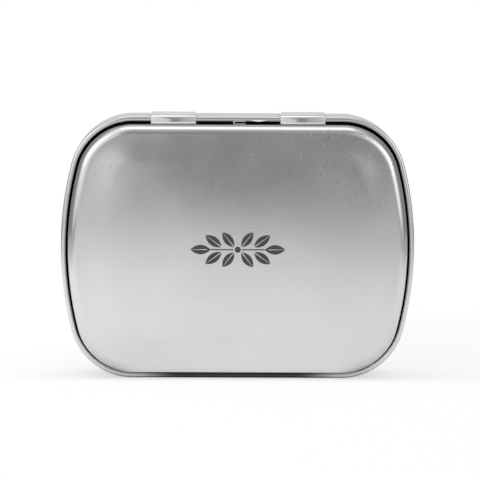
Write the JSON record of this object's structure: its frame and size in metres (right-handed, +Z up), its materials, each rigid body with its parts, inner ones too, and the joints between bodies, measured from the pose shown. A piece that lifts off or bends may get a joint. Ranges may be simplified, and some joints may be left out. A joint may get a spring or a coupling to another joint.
{
  "type": "mint tin",
  "caption": "Pocket mint tin of satin tinplate with bowed sides, a rolled rim and a plug-in lid on two strap hinges, standing on its long edge.",
  "frame": {"origin": "centre of the bounding box's underside: under the middle of the tin, on the surface it stands on", "axes": "+Z up, from the standing edge to the hinges; +X along the tin's width, to the right as seen from the lid; +Y from the lid's face to the base's underside, so the lid faces -Y"},
  "size_m": [0.06, 0.0154, 0.0452],
  "materials": {
    "base_tinplate": "satin",
    "lid_tinplate": "satin",
    "strap_tinplate": "satin",
    "lug_tinplate": "satin",
    "rim_steel_wire": "drawn"
  },
  "bodies": {
    "base": {"base_shell": "base_tinplate", "rim_wire": "rim_steel_wire"},
    "lid": {"lid_shell": "lid_tinplate", "hinge_strap_left": "strap_tinplate", "hinge_strap_right": "strap_tinplate", "stop_lug": "lug_tinplate"}
  },
  "joints": [
    {"name": "lid_hinge", "type": "hinge", "parent": "base", "child": "lid", "pos_m": [0, -0.0042, 0.04405], "axis": [-1, 0, 0], "range_deg": [0, 135]}
  ]
}
